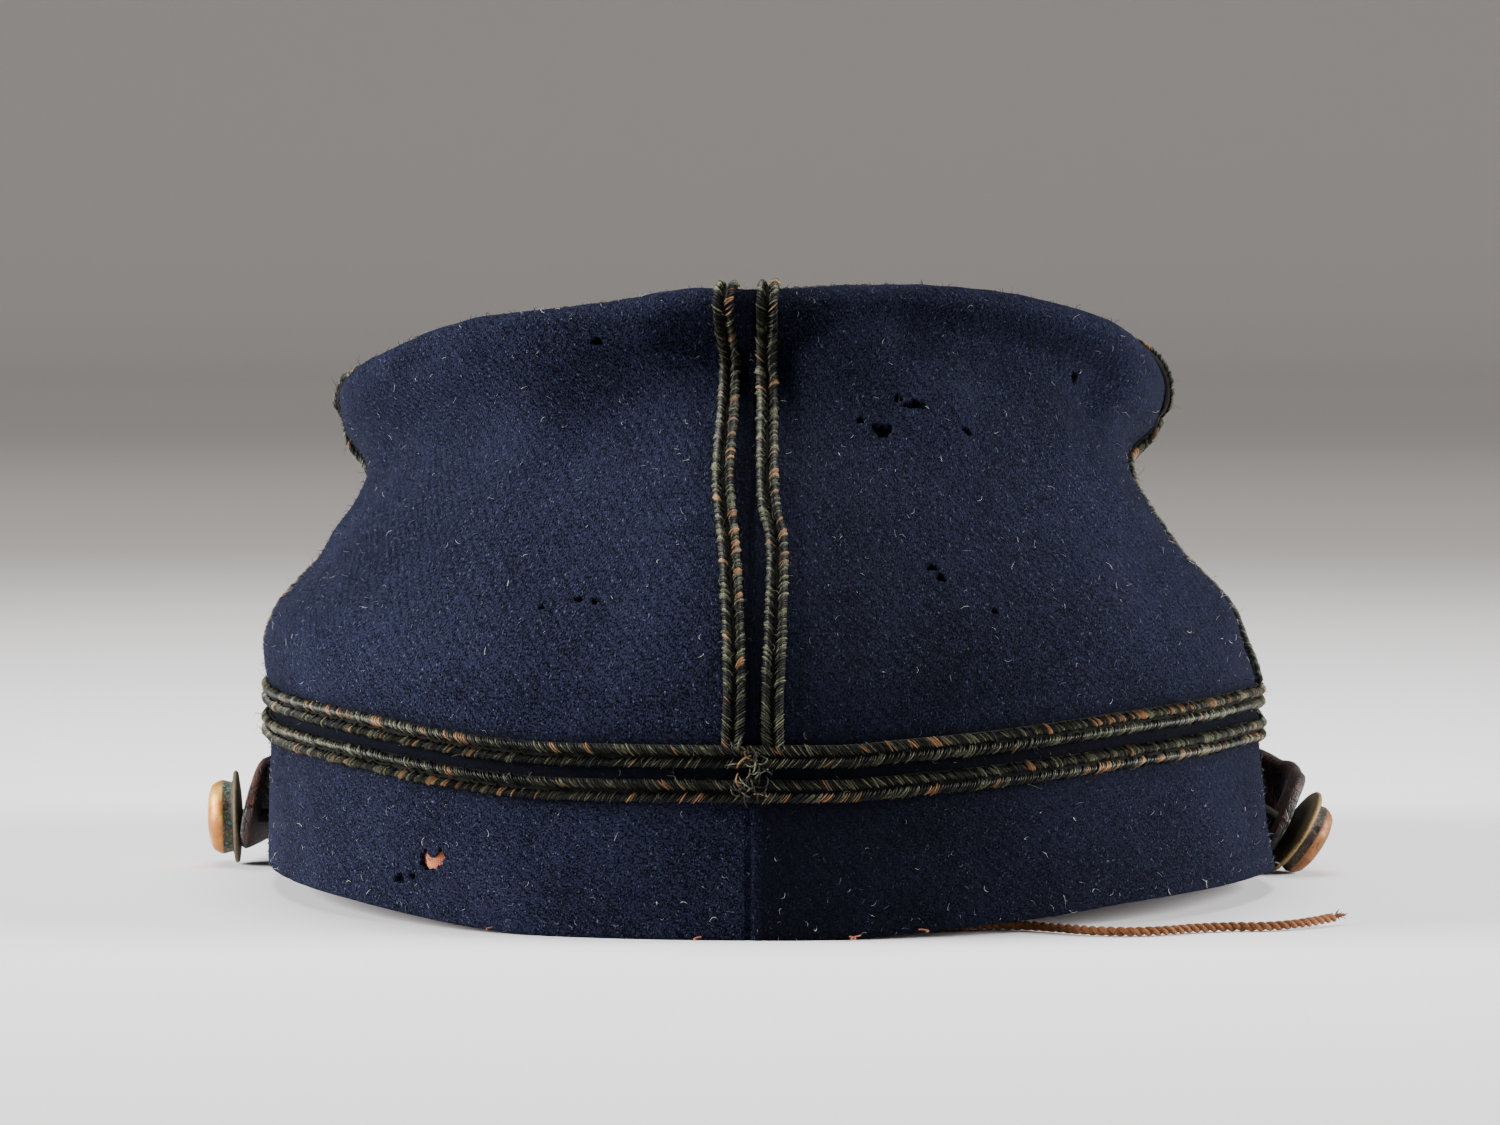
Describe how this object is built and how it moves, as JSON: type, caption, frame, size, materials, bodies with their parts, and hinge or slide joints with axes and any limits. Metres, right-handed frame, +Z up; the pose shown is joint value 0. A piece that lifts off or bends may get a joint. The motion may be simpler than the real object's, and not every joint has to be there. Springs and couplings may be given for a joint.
{
  "type": "kepi",
  "caption": "Soft low cloth cap with a crown leaning forward to a small round tip, flat braid, a leather peak, a chin strap and two side buttons.",
  "frame": {"origin": "on the surface, under the middle of the cap's own bounding box without the loose cord", "axes": "+Z up, the peak points to -Y, and +X is the wearer's left"},
  "size_m": [0.1866, 0.2352, 0.0985],
  "materials": {
    "wool": "matt napped dark blue wool",
    "braid": "black and olive mohair braid, worn tan in places",
    "leather": "black and finely cracked, red-brown on the flesh side",
    "lining": "salmon cotton",
    "brass": "worn, with dark and green patina",
    "cord": "brown twisted cord"
  },
  "bodies": {
    "root": {"band": "wool", "lining_band": "lining", "crown": "wool", "tip": "wool", "braid_band_upper": "braid", "braid_band_lower": "braid", "braid_tip": "braid", "braid_rear_left": "braid", "braid_rear_right": "braid", "braid_left_front": "braid", "braid_left_rear": "braid", "braid_front_right": "braid", "braid_front_left": "braid", "braid_right_rear": "braid", "braid_right_front": "braid", "peak": "leather", "chin_strap": "leather", "button_left": "brass", "button_right": "brass", "drawstring": "cord"}
  },
  "joints": []
}
